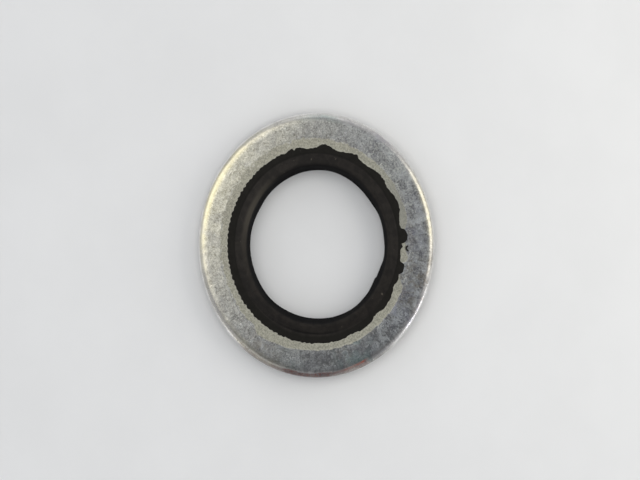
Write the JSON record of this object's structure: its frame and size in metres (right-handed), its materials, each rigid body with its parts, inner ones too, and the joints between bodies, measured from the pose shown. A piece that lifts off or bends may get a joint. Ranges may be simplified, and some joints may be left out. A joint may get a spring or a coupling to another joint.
{
  "type": "banjo washer",
  "caption": "Steel sealing washer with a rubber ring bonded in its bore, clamped under the head of a banjo bolt to seal a fluid union.",
  "frame": {"origin": "centre of the washer at the crest of its lower lip, on which it lies", "axes": "+Z along the bolt's axis, out of the face that carries the torn flash; +X towards the round lobe of flash"},
  "size_m": [0.0254, 0.0254, 0.0027],
  "materials": {
    "plated_steel": "zinc plated, dull, mottled grain",
    "seal_rubber": "moulded, matte black"
  },
  "bodies": {
    "root": {"metal_ring": "plated_steel", "rubber_seal": "seal_rubber"}
  },
  "joints": []
}
